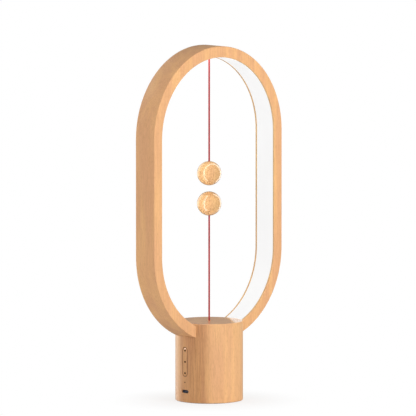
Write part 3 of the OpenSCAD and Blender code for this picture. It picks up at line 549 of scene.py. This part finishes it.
def cord_cloth(name, colour, dark):
    """Waxed braid: strands catch the light, and the gaps between them are darker."""
    s = Shader(name, IOR=1.3)
    fibre = s.noise((0.12 * MM, 0.12 * MM, 0.5 * MM), detail=3, roughness=0.6)
    patch = s.noise((3 * MM, 3 * MM, 5 * MM), detail=2)
    base = s.mix(s.remap(fibre, 0.35, 0.65), dark, colour)
    base = s.mix(s.remap(patch, 0.3, 0.7, 0.0, 0.35), base, tinted(colour, 1.12))
    s.set(Base_Color=base, Roughness=s.remap(fibre, 0.3, 0.7, 0.5, 0.75))
    s.bump(fibre, 0.04 * MM, 0.7)
    return s.material


def glow(name, colour, strength):
    """A frosted diffuser lit evenly from behind, with the faintest ripple of the chips."""
    s = Shader(name, Roughness=0.5, Emission_Strength=strength)
    ripple = s.noise((30 * MM, 30 * MM, 30 * MM), detail=1)
    s.set(Emission_Color=s.mix(ripple, tinted(colour, 0.985), colour))
    s.set(Base_Color=s.mix(ripple, (0.15, 0.15, 0.15), (0.17, 0.17, 0.17)))
    return s.material


BEECH = (0.85, 0.475, 0.21)

MATERIALS = {
    "ring_beech": wood("ring_beech", BEECH, contrast=0.8, coat_rough=0.15, seed=1, marks=ring_lip_shade),
    "base_beech": wood("base_beech", (0.852, 0.483, 0.216), contrast=0.9, rough=0.4, seed=7, marks=base_shade_and_polish),
    "ball_beech": wood("ball_beech", (0.76, 0.45, 0.188), contrast=1.5, rough=0.35, coat=1.0, coat_rough=0.04,
                       bump=0.01 * MM, seed=4),
    "dowel_wood": wood("dowel_wood", (0.6, 0.4, 0.2), coat=0.0, rough=0.7),
    "cover_beech": wood("cover_beech", (0.66, 0.42, 0.22), coat=0.0, rough=0.65, seed=11),
    "dot_walnut": wood("dot_walnut", (0.006, 0.003, 0.002), rough=0.95, coat=0.0, seed=2, ior=1.2),
    "diffuser": glow("diffuser", (1.0, 1.0, 1.0), 0.755),
    "strip_white": plastic("strip_white", (0.85, 0.85, 0.83), rough=0.35),
    "led_yellow": plastic("led_yellow", (0.9, 0.7, 0.12), rough=0.3, coat=0.5),
    "cord_red": cord_cloth("cord_red", (0.36, 0.035, 0.04), (0.22, 0.018, 0.02)),
    "cord_dark": cord_cloth("cord_dark", (0.36, 0.05, 0.06), (0.2, 0.02, 0.03)),
    "brass": metal("brass", (0.72, 0.5, 0.22), 0.3, (0.2 * MM, 0.2 * MM, 0.15 * MM)),
    "magnet": metal("magnet", (0.8, 0.8, 0.82), 0.12),
    "screw_steel": metal("screw_steel", (0.32, 0.32, 0.34), 0.35),
    "bright_steel": metal("bright_steel", (0.72, 0.72, 0.74), 0.25),
    "ballast_steel": metal("ballast_steel", (0.42, 0.43, 0.45), 0.4, (0.2 * MM, 5 * MM, 0.2 * MM)),
    "dark_nylon": plastic("dark_nylon", (0.05, 0.04, 0.04), rough=0.5),
    "black_plastic": plastic("black_plastic", (0.02, 0.02, 0.022), rough=0.45),
    "grey_plastic": plastic("grey_plastic", (0.25, 0.25, 0.27)),
    "button_red": plastic("button_red", (0.5, 0.03, 0.03), rough=0.3),
    "board_green": plastic("board_green", (0.02, 0.15, 0.06), rough=0.3, coat=0.6),
    "chip_black": plastic("chip_black", (0.03, 0.03, 0.03), rough=0.5),
    "window_white": glow("window_white", (1.0, 0.9, 0.78), 2.2),
    "lens_amber": plastic("lens_amber", (0.006, 0.003, 0.002), rough=0.8, ior=1.15),
    "tongue_blue": plastic("tongue_blue", (0.09, 0.1, 0.16), rough=0.4),
    "battery_wrap": plastic("battery_wrap", (0.04, 0.12, 0.4), rough=0.2, coat=0.7),
    "wire_red": plastic("wire_red", (0.5, 0.02, 0.02), rough=0.4),
    "wire_black": plastic("wire_black", (0.02, 0.02, 0.02), rough=0.4),
    "foot_rubber": plastic("foot_rubber", (0.07, 0.07, 0.07), rough=0.7),
}


def paint(obj, slot):
    """Gives a whole piece one material."""
    obj.data.materials.clear()
    obj.data.materials.append(MATERIALS[slot])


for entry in frame["record"]["subparts"]:
    for place in nodes[entry["node"]].material_slots:
        place.material = MATERIALS[entry["material_slot"]]
for piece in cords:
    paint(piece, "cord_red")
for piece in ring:
    paint(piece, "ring_beech")
for piece in balls:
    paint(piece, "ball_beech")
paint(contacts, "brass")


# ---------- light, floor and background ----------

def area_light(name, at, towards, size, radiance, colour=(1, 1, 1), reflected=False):
    """A soft rectangular lamp at a point, turned towards another, that the camera doesn't see."""
    data = bpy.data.lights.new(name, "AREA")
    data.shape = "RECTANGLE"
    data.size, data.size_y = size
    data.energy = radiance * pi * size[0] * size[1]
    data.color = colour
    lamp = bpy.data.objects.new(name, data)
    bpy.context.scene.collection.objects.link(lamp)
    lamp.location = at
    lamp.rotation_euler = (Vector(towards) - Vector(at)).to_track_quat("-Z", "Y").to_euler()
    lamp.visible_camera = False
    lamp.visible_glossy = reflected
    return lamp


def band_lights(left, right):
    """Lamps just inside the diffuser, end to end around the ring, that carry its light at each side's level.

    Reflections leave out the lamps of the lower arc, apart from the outer two on the left.
    """
    r = RING_IN_R - 1.5 * MM
    width = 22 * MM
    straight = 4
    length = (ARC_HIGH_Z - ARC_LOW_Z) / straight
    spots = []
    for side in (-1, 1):
        for i in range(straight):
            spots.append((side * r, ARC_LOW_Z + (i + 0.5) * length, -side, 0.0, length))
    around = 8
    piece = pi * r / around
    for i in range(around):
        a = pi * (i + 0.5) / around
        spots.append((r * cos(a), ARC_HIGH_Z + r * sin(a), -cos(a), -sin(a), piece))
        if abs(cos(a)) > 0.5:
            spots.append((r * cos(a), ARC_LOW_Z - r * sin(a), -cos(a), sin(a), piece))
    for i, (x, z, dx, dz, long) in enumerate(spots):
        level = left + (right - left) * (x + r) / (2 * r)
        lamp = area_light(f"band_{i:02d}", (x, 0, z), (x + dx, 0, z + dz), (long, width), level,
                          reflected=x < -0.8 * r or z > ARC_LOW_Z)
        # its long side along the band
        forward = Vector((dx, 0, dz))
        across = Vector((0, 1, 0))
        along = across.cross(-forward)
        turn = Matrix((along, across, -forward)).transposed()
        lamp.matrix_world = Matrix.Translation((x, 0, z)) @ turn.to_4x4()


def make_world(diffuse, glossy):
    """White where the camera looks, and softer levels for the light and the reflections that it gives."""
    world = bpy.data.worlds.new("studio")
    bpy.context.scene.world = world
    world.use_nodes = True
    tree = world.node_tree
    tree.nodes.clear()
    path = tree.nodes.new("ShaderNodeLightPath")
    level = diffuse
    for ray, value in (("Is Glossy Ray", glossy), ("Is Camera Ray", 1.0)):
        mix = tree.nodes.new("ShaderNodeMix")
        tree.links.new(path.outputs[ray], mix.inputs["Factor"])
        if isinstance(level, float):
            mix.inputs["A"].default_value = level
        else:
            tree.links.new(level, mix.inputs["A"])
        mix.inputs["B"].default_value = value
        level = mix.outputs["Result"]
    background = tree.nodes.new("ShaderNodeBackground")
    background.inputs["Color"].default_value = (1, 1, 1, 1)
    tree.links.new(level, background.inputs["Strength"])
    output = tree.nodes.new("ShaderNodeOutputWorld")
    tree.links.new(background.outputs[0], output.inputs["Surface"])


def make_floor():
    """A pale floor that keeps a soft shadow near the lamp and fades to the white background.

    Reflections pass through it and show the world and the edge lamps instead.
    """
    half = 3.0
    fade_start, fade_end = 40 * MM, 120 * MM
    white_near = 0.75
    floor = new_mesh("floor", [(-half, -half, 0), (half, -half, 0), (half, half, 0), (-half, half, 0)],
                     [(0, 1, 2, 3)], smooth=False)
    s = Shader("floor_white", Base_Color=(0.92, 0.92, 0.92, 1), Roughness=0.9, IOR=1.2)
    away = s.node("ShaderNodeVectorMath", operation="LENGTH")
    s.feed(away.inputs[0], s.place)
    fade = s.remap(away.outputs["Value"], fade_start, fade_end, white_near, 1.0, smooth=True)
    seen = s.node("ShaderNodeLightPath").outputs["Is Camera Ray"]
    white = s.node("ShaderNodeEmission")
    mixer = s.node("ShaderNodeMixShader")
    s.feed(mixer.inputs[0], s.math("MULTIPLY", fade, seen))
    s.feed(mixer.inputs[1], s.surface.outputs[0])
    s.feed(mixer.inputs[2], white.outputs[0])
    s.feed(s.output, mixer.outputs[0])
    floor.data.materials.append(s.material)
    floor.visible_glossy = False


def edge_lamp(name, azimuth, radiance, colour):
    """A far lamp, mostly below the floor's level, that only reflections show: the sheen on the base's edges."""
    a = radians(azimuth)
    away = 2.7
    height = -0.25
    lamp = area_light(name, (away * cos(a), away * sin(a), height), (0, 0, 0), (1.3, 0.8), radiance, colour,
                      reflected=True)
    lamp.visible_diffuse = False


SIDE_LAMP = (1.4, 1.4)
SIDE_TINT = (1, 0.97, 0.96)

make_world(0.42, 0.2)
make_floor()

# Place, aim, size and radiance of each lamp
area_light("key", (0.1, -2.5, 1.15), AIM, (1.6, 1.6), 5.7)
area_light("fill", (-2.4, -0.9, 0.6), AIM, SIDE_LAMP, 1.0, SIDE_TINT)
area_light("side", (-2.0, 1.7, 0.6), AIM, SIDE_LAMP, 2.0, SIDE_TINT)
area_light("back", (-0.2, 2.6, 0.8), AIM, (2.4, 2.8), 1.1, reflected=True)
edge_lamp("left_edge", 82, 0.6, (1, 0.8, 0.5))
edge_lamp("right_edge", 8, 1.6, (1, 0.7, 0.3))
band_lights(4.8, 2.4)
bpy.context.scene.view_settings.view_transform = "Standard"
